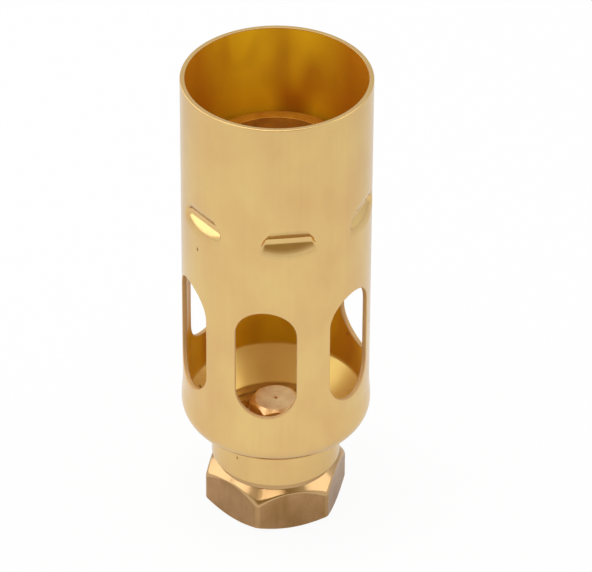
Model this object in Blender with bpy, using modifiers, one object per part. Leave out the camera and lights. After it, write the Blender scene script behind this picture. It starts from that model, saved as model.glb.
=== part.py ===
"""Brass burner head of an LPG torch, at real size in metres, +Z up.

The origin is on the burner's axis, at the bottom face of the hexagon. Angles are measured about the axis from -Y
towards +X, and one air slot faces -Y.
"""

import math

import bmesh
import bpy
from mathutils import Matrix

MM = 0.001

# Clearance between pieces that seat on each other
FIT_GAP = 0.3 * MM

# Burner tube
TUBE_DIAMETER = 32.0 * MM
TUBE_WALL = 0.8 * MM
TUBE_LENGTH = 76.5 * MM
RIM_CHAMFER = 0.2 * MM
NECK_DIAMETER = 22.2 * MM
NECK_LENGTH = 6.2 * MM
SHOULDER_ROUND = 4.2 * MM
SHOULDER_ROOT = 1.3 * MM
SHOULDER_SLOPE = math.radians(80)
SHOULDER_FILL = 0.95
SHOULDER_SWELL = 0.25 * MM
SWELL_LENGTH = 4.5 * MM

# Air slots, cut through the tube's wall
SLOT_COUNT = 6
SLOT_WIDTH = 10.3 * MM
SLOT_LENGTH = 21.7 * MM
SLOT_ABOVE_SHOULDER = 6.5 * MM

# Punched indents, which grip the flame holder
INDENT_COUNT = 6
INDENT_TURN = math.radians(14)
INDENT_BELOW_RIM = 22.5 * MM
INDENT_LENGTH = 9.2 * MM
INDENT_HEIGHT = 3.5 * MM
INDENT_DEPTH = 1.25 * MM
INDENT_TIP_HEIGHT = 1.0 * MM
INDENT_END_TAPER = 0.5 * MM
INDENT_NOSE_ROUND = 0.3 * MM

# Flame holder
HOLDER_TOP_BELOW_RIM = 14.8 * MM
HOLDER_WALL = 2.0 * MM
HOLDER_TOP_INSET = 2.7 * MM
HOLDER_BEVEL = math.radians(45)
HOLDER_BELOW_INDENTS = 2.5 * MM
PILOT_GAP = 0.8 * MM
HOLDER_EDGE = 0.3 * MM

# Hexagon connector
HEX_ACROSS_FLATS = 22.0 * MM
HEX_HEIGHT = 8.2 * MM
HEX_TURN = math.radians(-8)
HEX_CORNER_ROUND = 0.6 * MM
HEX_TOP_SLOPE = math.radians(40)
HEX_BOTTOM_SLOPE = math.radians(32)
HEX_BOTTOM_LAND_INSET = 0.2 * MM
NECK_ABOVE_HEX = 1.3 * MM
SPIGOT_LENGTH = 6.3 * MM
SPIGOT_CHAMFER = 0.4 * MM
SOCKET_DIAMETER = 14.0 * MM
SOCKET_DEPTH = 8.0 * MM
SOCKET_CHAMFER = 0.7 * MM
DRILL_POINT_SLOPE = math.radians(31)

# Gas jet, its washer and its filter
JET_THREAD_DIAMETER = 6.0 * MM
JET_ACROSS_FLATS = 8.0 * MM
JET_TURN = math.radians(-20)
JET_HEAD_HEIGHT = 4.4 * MM
JET_FACE_DIAMETER = 7.1 * MM
JET_HEAD_SLOPE = math.radians(40)
JET_SHANK_LENGTH = 7.1 * MM
JET_SHANK_CHAMFER = 0.5 * MM
JET_BORE_DIAMETER = 3.2 * MM
ORIFICE_DIAMETER = 0.5 * MM
ORIFICE_LENGTH = 1.0 * MM
WASHER_WIDTH = 1.9 * MM
WASHER_THICKNESS = 0.8 * MM
FILTER_LENGTH = 3.0 * MM
FILTER_INSET = 0.4 * MM
FILTER_EDGE = 0.2 * MM

# Facets
LARGE_STEPS = 60
SMALL_STEPS = 36
ROUND_POINTS = 6
SLOT_END_FACETS = 36
CORNER_FACETS = 3
NOSE_FACETS = 2
CUT_MARGIN = 2.0 * MM
SHARP_ANGLE = math.radians(30)

# Places that follow from the sizes
TUBE_RADIUS = TUBE_DIAMETER / 2
BORE_RADIUS = TUBE_RADIUS - TUBE_WALL
NECK_RADIUS = NECK_DIAMETER / 2
NECK_BOTTOM = HEX_HEIGHT + NECK_ABOVE_HEX
NECK_TOP = NECK_BOTTOM + NECK_LENGTH
RIM = NECK_BOTTOM + TUBE_LENGTH
SPIGOT_RADIUS = NECK_RADIUS - TUBE_WALL - FIT_GAP
SPIGOT_TOP = HEX_HEIGHT + SPIGOT_LENGTH
WASHER_BOTTOM = SPIGOT_TOP + FIT_GAP
JET_SEAT = WASHER_BOTTOM + WASHER_THICKNESS + FIT_GAP
JET_HOLE_RADIUS = JET_THREAD_DIAMETER / 2
SHANK_RADIUS = JET_HOLE_RADIUS - FIT_GAP
INDENT_HEIGHT_ON_TUBE = RIM - INDENT_BELOW_RIM
INDENT_FLANK = (INDENT_HEIGHT - INDENT_TIP_HEIGHT) / 2 / INDENT_DEPTH


def clear_scene():
    for old in list(bpy.data.objects):
        bpy.data.objects.remove(old, do_unlink=True)


def new_collection(name):
    made = bpy.data.collections.new(name)
    bpy.context.scene.collection.children.link(made)
    return made


def add_object(name, mesh, collection):
    made = bpy.data.objects.new(name, mesh)
    collection.objects.link(made)
    return made


def mesh_from(name, build):
    """Runs build on an empty bmesh and returns the result as a mesh."""
    shape = bmesh.new()
    build(shape)
    bmesh.ops.recalc_face_normals(shape, faces=shape.faces)
    mesh = bpy.data.meshes.new(name)
    shape.to_mesh(mesh)
    shape.free()
    return mesh


def arc(centre_r, centre_z, radius, start, end, points=ROUND_POINTS):
    """Points (r, z) along an arc, with its angles measured from +r towards +z."""
    angles = [start + (end - start) * i / points for i in range(points + 1)]
    return [(centre_r + radius * math.cos(a), centre_z + radius * math.sin(a)) for a in angles]


def turned(name, profile, steps, collection, closed=True):
    """A turned shape: a profile of (r, z) points, down its outer side first, carried round the axis."""
    count = len(profile)
    edges = [(i, (i + 1) % count) for i in range(count if closed else count - 1)]
    mesh = bpy.data.meshes.new(name)
    mesh.from_pydata([(r, 0.0, z) for r, z in profile], edges, [])
    made = add_object(name, mesh, collection)
    screw = made.modifiers.new("turn", "SCREW")
    screw.axis = "Z"
    screw.angle = 2 * math.pi
    screw.steps = steps
    screw.render_steps = steps
    screw.use_merge_vertices = True
    screw.merge_threshold = 0.00001
    return made


def cut(target, cutter):
    boolean = target.modifiers.new(cutter.name, "BOOLEAN")
    boolean.operation = "DIFFERENCE"
    boolean.object = cutter
    boolean.solver = "EXACT"


def hide_cutter(cutter):
    cutter.hide_render = True
    cutter.display_type = "WIRE"
    return cutter


def about_axis(angle):
    """Turns a shape built facing -Y to the given angle about the burner's axis."""
    return Matrix.Rotation(angle, 4, "Z")


def tube_side(wall, neck_bottom, rim):
    """One side of the tube's wall, top to bottom: the outer side, or the inner one with the wall taken off.

    The shoulder's round and the root at the neck run into each other along a straight slope, and both shrink
    together where the step from tube to neck is too small for them.
    """
    top = TUBE_RADIUS - wall
    swollen = top + SHOULDER_SWELL
    neck = NECK_RADIUS - wall
    turn_in = 1 - math.cos(SHOULDER_SLOPE)
    step = swollen - neck
    share = min(1.0, SHOULDER_FILL * step / ((SHOULDER_ROUND + SHOULDER_ROOT) * turn_in))
    outer_round = SHOULDER_ROUND * share - wall
    root = SHOULDER_ROOT * share + wall
    slope_run = (step - (outer_round + root) * turn_in) / math.sin(SHOULDER_SLOPE)
    drop = (outer_round + root) * math.sin(SHOULDER_SLOPE) + slope_run * math.cos(SHOULDER_SLOPE)
    shoulder_top = NECK_TOP + drop
    shoulder = arc(swollen - outer_round, shoulder_top, outer_round, 0, -SHOULDER_SLOPE)
    fillet = arc(neck + root, NECK_TOP, root, math.pi - SHOULDER_SLOPE, math.pi)
    run = [(top, rim), (top, shoulder_top + SWELL_LENGTH)]
    return run + shoulder + fillet + [(neck, neck_bottom)], shoulder_top


def indent_block(name, tip_distance, collection):
    """Six wedge punches whose flat tips stand at tip_distance from the axis, one for each indent.

    A wedge widens outwards at the flanks' slope, so the same form makes the outer hollow and the inner bump.
    """
    reach = INDENT_DEPTH + CUT_MARGIN
    tip_half = INDENT_TIP_HEIGHT / 2
    back_half = tip_half + INDENT_FLANK * reach
    tip_length = INDENT_LENGTH / 2 - INDENT_END_TAPER
    back_length = tip_length + INDENT_END_TAPER / INDENT_DEPTH * reach

    def build(shape):
        for k in range(INDENT_COUNT):
            others = set(shape.verts)
            block = bmesh.ops.create_cube(shape, size=2.0)["verts"]
            nose = {edge for vert in block if vert.co.y > 0 for edge in vert.link_edges}
            for vert in block:
                outward = vert.co.y < 0
                vert.co.x *= back_length if outward else tip_length
                vert.co.z *= back_half if outward else tip_half
                vert.co.y = -(tip_distance + (reach if outward else 0.0))
                vert.co.z += INDENT_HEIGHT_ON_TUBE
            bmesh.ops.bevel(
                shape, geom=list(nose), offset=INDENT_NOSE_ROUND, offset_type="OFFSET", segments=NOSE_FACETS,
                profile=0.5, clamp_overlap=True, affect="EDGES",
            )
            turn = about_axis(INDENT_TURN + 2 * math.pi * k / INDENT_COUNT)
            made = [vert for vert in shape.verts if vert not in others]
            bmesh.ops.transform(shape, matrix=turn, verts=made)

    return hide_cutter(add_object(name, mesh_from(name, build), collection))


def slot_cutter(slot_bottom, collection):
    """Six round-ended bars that pass through the tube's wall, each the hull of two cylinders."""
    half_width = SLOT_WIDTH / 2
    inner = math.sqrt(BORE_RADIUS**2 - half_width**2) - CUT_MARGIN / 2
    outer = TUBE_RADIUS + CUT_MARGIN
    ends = (slot_bottom + half_width, slot_bottom + SLOT_LENGTH - half_width)

    def build(shape):
        for k in range(SLOT_COUNT):
            bar = []
            for height in ends:
                middle = Matrix.Translation((0, -(inner + outer) / 2, height))
                bar += bmesh.ops.create_cone(
                    shape, cap_ends=True, segments=SLOT_END_FACETS, radius1=half_width, radius2=half_width,
                    depth=outer - inner, matrix=middle @ Matrix.Rotation(math.pi / 2, 4, "X"),
                )["verts"]
            edges = {edge for vert in bar for edge in vert.link_edges}
            bmesh.ops.delete(shape, geom=list(edges), context="EDGES_FACES")
            bmesh.ops.transform(shape, matrix=about_axis(2 * math.pi * k / SLOT_COUNT), verts=bar)
            bmesh.ops.convex_hull(shape, input=bar)
        loose = [vert for vert in shape.verts if not vert.link_faces]
        bmesh.ops.delete(shape, geom=loose, context="VERTS")

    return hide_cutter(add_object("slot_cutter", mesh_from("slot_cutter", build), collection))


def flats_cutter(name, across_flats, bottom, top, turn, corner_round, collection):
    """A ring whose hole is a hexagon with rounded corners: it mills the six flats between two heights."""
    corner = across_flats / math.sqrt(3)
    height = top - bottom
    middle = Matrix.Translation((0, 0, (top + bottom) / 2))

    def build_bar(shape):
        bmesh.ops.create_cone(
            shape, cap_ends=True, segments=6, radius1=corner, radius2=corner, depth=height + 2 * CUT_MARGIN,
            matrix=about_axis(turn) @ middle,
        )
        upright = [edge for edge in shape.edges if abs(edge.verts[0].co.z - edge.verts[1].co.z) > height]
        bmesh.ops.bevel(
            shape, geom=upright, offset=corner_round, segments=CORNER_FACETS, profile=0.5, affect="EDGES"
        )

    def build_ring(shape):
        bmesh.ops.create_cone(
            shape, cap_ends=True, segments=LARGE_STEPS, radius1=2 * corner, radius2=2 * corner, depth=height,
            matrix=middle,
        )

    bar = hide_cutter(add_object(name + "_bar", mesh_from(name + "_bar", build_bar), collection))
    ring = hide_cutter(add_object(name, mesh_from(name, build_ring), collection))
    bar.parent = ring
    cut(ring, bar)
    return ring


def make_burner_tube(parts, cutters):
    outer, shoulder_top = tube_side(0.0, NECK_BOTTOM, RIM)
    rim_side = TUBE_RADIUS - RIM_CHAMFER
    outer[0:1] = [(rim_side, RIM), (TUBE_RADIUS, RIM - RIM_CHAMFER)]
    blank = [(0.0, RIM)] + outer + [(0.0, NECK_BOTTOM)]
    tube = turned("burner_tube", blank, LARGE_STEPS, parts, closed=False)

    inner, _ = tube_side(TUBE_WALL, NECK_BOTTOM - CUT_MARGIN, RIM)
    flare = BORE_RADIUS + RIM_CHAMFER
    inner[0:1] = [(flare, RIM + CUT_MARGIN), (flare, RIM), (BORE_RADIUS, RIM - RIM_CHAMFER)]
    core = [(0.0, RIM + CUT_MARGIN)] + inner + [(0.0, NECK_BOTTOM - CUT_MARGIN)]
    cavity = hide_cutter(turned("tube_cavity", core, LARGE_STEPS, cutters, closed=False))

    tip = TUBE_RADIUS - INDENT_DEPTH
    cut(cavity, indent_block("indent_bumps", tip - TUBE_WALL, cutters))
    cut(tube, indent_block("indent_hollows", tip, cutters))
    cut(tube, cavity)
    cut(tube, slot_cutter(shoulder_top + SLOT_ABOVE_SHOULDER, cutters))
    return tube


def make_flame_holder(parts):
    """A turned ring, bevelled round its top and clear of the wall. Its groove takes the indents' tips."""
    top = RIM - HOLDER_TOP_BELOW_RIM
    land = BORE_RADIUS - HOLDER_TOP_INSET
    bore = land - HOLDER_WALL
    side = BORE_RADIUS - PILOT_GAP
    middle = INDENT_HEIGHT_ON_TUBE
    side_top = top - (side - land) * math.tan(HOLDER_BEVEL)
    bottom = middle - HOLDER_BELOW_INDENTS
    bump_tip = TUBE_RADIUS - INDENT_DEPTH - TUBE_WALL
    groove = min(bump_tip - FIT_GAP, side)
    root_half = INDENT_TIP_HEIGHT / 2 + FIT_GAP * (math.hypot(1, INDENT_FLANK) - INDENT_FLANK)
    mouth_half = root_half + INDENT_FLANK * (side - groove)
    profile = [
        (land, top),
        (side, side_top),
        (side, middle + mouth_half),
        (groove, middle + root_half),
        (groove, middle - root_half),
        (side, middle - mouth_half),
        (side, bottom + HOLDER_EDGE),
        (side - HOLDER_EDGE, bottom),
        (bore + HOLDER_WALL / 2, bottom),
        (bore, bottom + HOLDER_WALL / 2),
        (bore, top - HOLDER_EDGE),
        (bore + HOLDER_EDGE, top),
    ]
    return turned("flame_holder", profile, LARGE_STEPS, parts)


def make_hex_connector(parts, cutters):
    """Turned from hexagon bar: both edges of the hexagon chamfered, a spigot above, a stepped hole through."""
    flat = HEX_ACROSS_FLATS / 2
    blank = HEX_ACROSS_FLATS / math.sqrt(3)
    bottom_land = flat - HEX_BOTTOM_LAND_INSET
    socket = SOCKET_DIAMETER / 2
    hole = JET_HOLE_RADIUS
    point = (socket - hole) * math.tan(DRILL_POINT_SLOPE)
    profile = [
        (SPIGOT_RADIUS - SPIGOT_CHAMFER, SPIGOT_TOP),
        (SPIGOT_RADIUS, SPIGOT_TOP - SPIGOT_CHAMFER),
        (SPIGOT_RADIUS, HEX_HEIGHT),
        (blank, HEX_HEIGHT - (blank - SPIGOT_RADIUS) * math.tan(HEX_TOP_SLOPE)),
        (blank, (blank - bottom_land) * math.tan(HEX_BOTTOM_SLOPE)),
        (bottom_land, 0.0),
        (socket + SOCKET_CHAMFER, 0.0),
        (socket, SOCKET_CHAMFER),
        (socket, SOCKET_DEPTH),
        (hole, SOCKET_DEPTH + point),
        (hole, SPIGOT_TOP),
    ]
    connector = turned("hex_connector", profile, LARGE_STEPS, parts)
    flats = flats_cutter(
        "connector_flats", HEX_ACROSS_FLATS, -CUT_MARGIN, HEX_HEIGHT + FIT_GAP / 2, HEX_TURN, HEX_CORNER_ROUND,
        cutters,
    )
    cut(connector, flats)
    return connector


def make_gas_jet(parts, cutters):
    """Heights here are from the jet's seat. The bore ends in a drill point that opens into the orifice."""
    face = JET_FACE_DIAMETER / 2
    blank = JET_ACROSS_FLATS / math.sqrt(3)
    bore = JET_BORE_DIAMETER / 2
    orifice = ORIFICE_DIAMETER / 2
    point_top = JET_HEAD_HEIGHT - ORIFICE_LENGTH
    point = (bore - orifice) * math.tan(DRILL_POINT_SLOPE)
    end = -JET_SHANK_LENGTH
    profile = [
        (face, JET_HEAD_HEIGHT),
        (blank, JET_HEAD_HEIGHT - (blank - face) * math.tan(JET_HEAD_SLOPE)),
        (blank, 0.0),
        (SHANK_RADIUS, 0.0),
        (SHANK_RADIUS, end + JET_SHANK_CHAMFER),
        (SHANK_RADIUS - JET_SHANK_CHAMFER, end),
        (bore, end),
        (bore, point_top - point),
        (orifice, point_top),
        (orifice, JET_HEAD_HEIGHT),
    ]
    jet = turned("gas_jet", profile, SMALL_STEPS, parts)
    flats = flats_cutter(
        "jet_flats", JET_ACROSS_FLATS, -FIT_GAP / 2, JET_HEAD_HEIGHT + CUT_MARGIN, JET_TURN, FIT_GAP / 2, cutters
    )
    cut(jet, flats)
    return jet, flats


def make_jet_washer(parts):
    hole = SHANK_RADIUS + FIT_GAP
    rim = hole + WASHER_WIDTH
    profile = [(rim, WASHER_THICKNESS), (rim, 0.0), (hole, 0.0), (hole, WASHER_THICKNESS)]
    return turned("jet_washer", profile, SMALL_STEPS, parts)


def make_gas_filter(parts):
    radius = JET_BORE_DIAMETER / 2 - FIT_GAP
    profile = [
        (0.0, FILTER_LENGTH),
        (radius - FILTER_EDGE, FILTER_LENGTH),
        (radius, FILTER_LENGTH - FILTER_EDGE),
        (radius, FILTER_EDGE),
        (radius - FILTER_EDGE, 0.0),
        (0.0, 0.0),
    ]
    return turned("gas_filter", profile, SMALL_STEPS, parts, closed=False)


def shade_by_angle():
    """A node group that shades a piece smooth and keeps its edges sharp above SHARP_ANGLE."""
    tree = bpy.data.node_groups.new("shade_by_angle", "GeometryNodeTree")
    tree.interface.new_socket("Geometry", in_out="INPUT", socket_type="NodeSocketGeometry")
    tree.interface.new_socket("Geometry", in_out="OUTPUT", socket_type="NodeSocketGeometry")
    start = tree.nodes.new("NodeGroupInput")
    angle = tree.nodes.new("GeometryNodeInputMeshEdgeAngle")
    gentle = tree.nodes.new("FunctionNodeCompare")
    gentle.operation = "LESS_THAN"
    gentle.inputs["B"].default_value = SHARP_ANGLE
    faces = tree.nodes.new("GeometryNodeSetShadeSmooth")
    edges = tree.nodes.new("GeometryNodeSetShadeSmooth")
    edges.domain = "EDGE"
    end = tree.nodes.new("NodeGroupOutput")
    tree.links.new(start.outputs["Geometry"], faces.inputs["Geometry"])
    tree.links.new(faces.outputs["Geometry"], edges.inputs["Geometry"])
    tree.links.new(angle.outputs["Unsigned Angle"], gentle.inputs["A"])
    tree.links.new(gentle.outputs["Result"], edges.inputs["Shade Smooth"])
    tree.links.new(edges.outputs["Geometry"], end.inputs["Geometry"])
    return tree


def add_material(piece, colour, roughness, metallic=1.0):
    made = bpy.data.materials.new(piece.name)
    made.use_nodes = True
    shader = made.node_tree.nodes["Principled BSDF"]
    shader.inputs["Base Color"].default_value = (*colour, 1.0)
    shader.inputs["Roughness"].default_value = roughness
    shader.inputs["Metallic"].default_value = metallic
    made.diffuse_color = (*colour, 1.0)
    piece.data.materials.append(made)


def add_empty(name, height, collection, parent=None):
    made = bpy.data.objects.new(name, None)
    made.empty_display_size = TUBE_RADIUS / 2
    made.location = (0, 0, height)
    made.parent = parent
    collection.objects.link(made)
    return made


def main():
    clear_scene()
    parts = new_collection("torch_burner_head")
    cutters = new_collection("cutters")

    tube = make_burner_tube(parts, cutters)
    holder = make_flame_holder(parts)
    connector = make_hex_connector(parts, cutters)
    jet, jet_flats = make_gas_jet(parts, cutters)
    washer = make_jet_washer(parts)
    gas_filter = make_gas_filter(parts)

    burner = add_empty("burner", 0.0, parts)
    for piece in (tube, holder, connector):
        piece.parent = burner
    jet_axis = add_empty("jet_axis", JET_SEAT, parts, burner)
    for piece in (jet, jet_flats, washer, gas_filter):
        piece.parent = jet_axis
    washer.location.z = WASHER_BOTTOM - JET_SEAT
    gas_filter.location.z = FILTER_INSET - JET_SHANK_LENGTH

    add_material(tube, (0.73, 0.50, 0.20), 0.25)
    add_material(holder, (0.62, 0.40, 0.16), 0.35)
    add_material(connector, (0.48, 0.32, 0.14), 0.35)
    add_material(jet, (0.62, 0.40, 0.20), 0.35)
    add_material(washer, (0.60, 0.60, 0.61), 0.45)
    add_material(gas_filter, (0.45, 0.28, 0.12), 0.7)

    shading = shade_by_angle()
    for piece in (tube, holder, connector, jet, washer, gas_filter):
        piece.modifiers.new("shade", "NODES").node_group = shading


if __name__ == "__main__":
    main()
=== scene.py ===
"""Finished looks of a brass torch burner head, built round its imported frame.

Laid out as a Blender add-on and run as a script: sizes and colours are properties, each piece has an
operator, and a panel in the 3D view's sidebar lists them. Lengths are in metres and +Z is up. Angles about
the burner's axis run from -Y towards +X, and one air slot faces -Y.
"""

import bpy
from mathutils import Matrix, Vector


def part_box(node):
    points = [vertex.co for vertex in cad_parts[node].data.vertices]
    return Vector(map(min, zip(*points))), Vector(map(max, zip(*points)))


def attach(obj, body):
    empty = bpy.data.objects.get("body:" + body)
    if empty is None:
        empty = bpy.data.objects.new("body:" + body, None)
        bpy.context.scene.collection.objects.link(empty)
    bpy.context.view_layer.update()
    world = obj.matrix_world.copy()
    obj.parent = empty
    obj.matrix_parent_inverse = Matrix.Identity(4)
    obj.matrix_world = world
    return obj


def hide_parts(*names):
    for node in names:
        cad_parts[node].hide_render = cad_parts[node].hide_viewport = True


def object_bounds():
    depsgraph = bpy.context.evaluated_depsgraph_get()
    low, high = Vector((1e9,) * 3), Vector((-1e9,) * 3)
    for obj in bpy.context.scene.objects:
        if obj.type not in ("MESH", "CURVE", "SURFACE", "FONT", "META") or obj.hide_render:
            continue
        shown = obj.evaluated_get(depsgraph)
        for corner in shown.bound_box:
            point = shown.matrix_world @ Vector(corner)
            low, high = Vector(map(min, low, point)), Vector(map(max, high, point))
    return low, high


bl_info = {
    "name": "Torch Burner Head",
    "version": (1, 0, 0),
    "blender": (4, 5, 0),
    "location": "3D View > Sidebar > Burner",
    "description": "Finished pieces of a brass torch burner head on its packed frame",
    "category": "Object",
}

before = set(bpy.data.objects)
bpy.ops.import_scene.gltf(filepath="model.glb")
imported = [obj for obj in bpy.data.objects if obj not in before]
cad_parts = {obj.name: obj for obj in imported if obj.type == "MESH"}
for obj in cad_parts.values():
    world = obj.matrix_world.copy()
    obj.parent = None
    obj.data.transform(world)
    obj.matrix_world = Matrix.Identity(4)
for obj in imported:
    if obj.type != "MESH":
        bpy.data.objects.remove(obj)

import math
from functools import partial

import bmesh
import bpy
from bpy.props import FloatProperty, FloatVectorProperty, IntProperty, PointerProperty
from mathutils import Matrix, Vector

MM = 0.001
TURN = 2 * math.pi

# The frame's own places, each from its lowest to its highest corner: the whole, and what each piece replaces
CAD_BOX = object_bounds()
TUBE_LOW, TUBE_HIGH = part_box("burner_tube")
HOLDER_LOW, HOLDER_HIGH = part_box("flame_holder")
HEX_LOW, HEX_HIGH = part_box("hex_connector")
JET_LOW, JET_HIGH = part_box("gas_jet")
WASHER_LOW, WASHER_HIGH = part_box("jet_washer")
FILTER_LOW, FILTER_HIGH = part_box("gas_filter")

# How fine the meshes are
SECTORS = 6
SECTOR = TURN / SECTORS
SECTOR_COLUMNS = 60
SLOT_SIDE_STEPS = 40
SLOT_RINGS = 5
EDGE_STEPS = 6
RING_COLUMNS = 144
FLAT_STEPS = 10
CORNER_STEPS = 8
THREAD_ROWS_PER_PITCH = 12
PLUG_COLUMNS = 24
PLUG_EDGE_STEPS = 2
GRAIN_COLUMNS = 8
GRAIN_ROWS = 5
PLAIN_ROW = 2.5 * MM
INDENT_ROW = 0.15 * MM
SWELL_ROW = 0.4 * MM
ARC_STEP = 0.25 * MM
WELD = 0.001 * MM

# Rounds: the most of an edge that one takes, and how far out, in its own reaches, the flat beside it begins
ROUND_MOST = 0.6
HOLD = 1.2

# How much large faces outweigh small ones in the shading where they meet
FACE_WEIGHT = 100

# A thread's section, in pitches from the middle of its groove: where its root ends and its crest begins
THREAD_ROOT = 0.075
THREAD_CREST = 0.44

# Sizes of the sintered grains, as shares of a plain one
GRAIN_LEAST = 0.7
GRAIN_MOST = 1.15

# Patterns in the metal: length of their features around the axis and along it, and how detailed they are.
# Draw marks and a lathe's rings are finer on real brass: here they are as coarse as they need to be to show.
POLISH_CLOUDS = (7 * MM, 11 * MM, 5.0)
DRAW_MARKS = (0.7 * MM, 40 * MM, 3.0)
INSIDE_PATCHES = (7 * MM, 14 * MM, 1.0)
LATHE_STAINS = (3 * MM, 3 * MM, 4.0)
BAR_MARKS = (0.8 * MM, 9 * MM, 2.0)
BAR_BLOTCHES = (4 * MM, 6 * MM, 4.0)
WASHER_SCUFFS = (0.4 * MM, 0.4 * MM, 5.0)
BRONZE_PORES = (0.2 * MM, 0.2 * MM, 3.0)
RING_DETAIL = 2.0

# The greys of Blender's noise that stand for a pattern's least and most
NOISE_GREYS = {"From Min": 0.3, "From Max": 0.7}

# Height of the marks that the patterns leave
DRAW_BUMP = 0.001 * MM
TOOL_BUMP = 0.003 * MM
SCUFF_BUMP = 0.01 * MM

# Roughness: as a range where a pattern sets it, and what a lathe's rings add or take
POLISH_ROUGH = {"To Min": 0.14, "To Max": 0.2}
FLATS_ROUGH = {"To Min": 0.2, "To Max": 0.32}
WASHER_ROUGH = {"To Min": 0.35, "To Max": 0.5}
BRONZE_ROUGH = {"To Min": 0.45, "To Max": 0.65}
INSIDE_ROUGH = 0.3
CUT_ROUGH = 0.6
LATHE_ROUGH = 0.16
RING_ROUGH = 0.05

# Turned brass: width of a ring, roughness, and the share that mirrors
HOLDER_FINISH = {"groove": 0.25 * MM, "roughness": 0.3, "metal": 0.45}
JET_FINISH = {"groove": 0.12 * MM, "roughness": 0.32, "metal": 1.0}

# Which draw marks show on the tube and how strongly, and how strongly the bar's marks show
TUBE_STREAKS = {"From Min": 0.5, "To Max": 0.07}
BAR_STREAKS = {"To Min": 0.7}

# Pits in the polish: their spacing, its stretch along the tube, and a pit's rim and floor in spacings
PIT_SPACING = 5 * MM
PIT_STRETCH = 0.6
PIT_RIM = 0.06
PIT_FLOOR = 0.03

# Painted light inside the tube, as gold: how much more above the webs, and from where to where it comes out
# clear
WEB_PAINTED_LIGHT = 0.6
CLEAR_PAINTED_LIGHT = {"From Min": 0.1, "From Max": 0.9}

# Painted shade over that gold, which turns the mouth's sides amber: at its low height and below it leaves an
# even share of the gold. At its high height and above it leaves all near the middle, which is shifted aside
# of the axis, and nothing where it is full. The last value is the most of the amber that stains the cone.
SIDE_SHADE_LEAVES = 0.6
SIDE_SHADE_LOW = 45 * MM
SIDE_SHADE_HIGH = 62 * MM
SIDE_SHADE_SHIFT = 2 * MM
SIDE_SHADE_START = 5 * MM
SIDE_SHADE_FULL = 13 * MM
CONE_STAIN = 0.25

# What each point of the tube's wall, and of a hexagon, is marked with for its material
# The last mark, dull, carries the painted shade under the indents' top edges
WALL_MARKS = ("inside", "web", "cut", "dull")
FLATS_MARK = "flats"

# Painted shade under an indent's top edge: its most, and the share of the indent's depth at which it gets
# there
PAINTED_SHADE_MOST = 0.7
PAINTED_SHADE_RISE = 0.5

# Share of the flats' oxide that is left on a hexagon's worn corners
CORNER_OXIDE = 0.6

# Softboxes: degrees about the axis and above the floor, width and height, and brightness of the face
SOFTBOX_DISTANCE = 0.8
SOFTBOXES = (
    ("key_softbox", -40.0, 71.0, (0.8, 0.36), 1.6),
    ("side_softbox", -74.0, 50.0, (0.4, 0.3), 1.2),
    ("left_softbox", -106.0, 22.0, (0.8, 0.45), 1.1),
    ("right_softbox", 98.0, 35.0, (0.45, 0.52), 1.0),
    ("top_softbox", 180.0, 82.0, (0.45, 0.45), 1.8),
)

# How far back a way points, as a share, where the studio's back wall starts and where it is all there is
BACK_WALL = {"From Min": 0.35, "From Max": 0.75}

# What the camera sees behind the object
WHITE = (1.0, 1.0, 1.0, 1.0)

# How far the floor lies below the hexagon's bottom face, so that the two don't mix
FLOOR_GAP = 0.05 * MM


def linear(hex_colour):
    """A colour written as sRGB hex, as the linear RGBA that Blender's sockets take."""
    channels = [int(hex_colour[i:i + 2], 16) / 255 for i in (1, 3, 5)]
    return [c / 12.92 if c <= 0.04045 else ((c + 0.055) / 1.055) ** 2.4 for c in channels] + [1.0]


def length(name, millimetres, description):
    return FloatProperty(
        name=name, description=description, default=millimetres * MM, min=0.0, unit="LENGTH", precision=5
    )


def angle(name, degrees, description):
    return FloatProperty(name=name, description=description, default=math.radians(degrees), subtype="ANGLE")


def number(name, value, description):
    return FloatProperty(name=name, description=description, default=value)


def colour(name, hex_colour, description):
    tint = linear(hex_colour)
    return FloatVectorProperty(
        name=name, description=description, default=tint, size=4, min=0.0, max=1.0, subtype="COLOR"
    )


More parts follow.
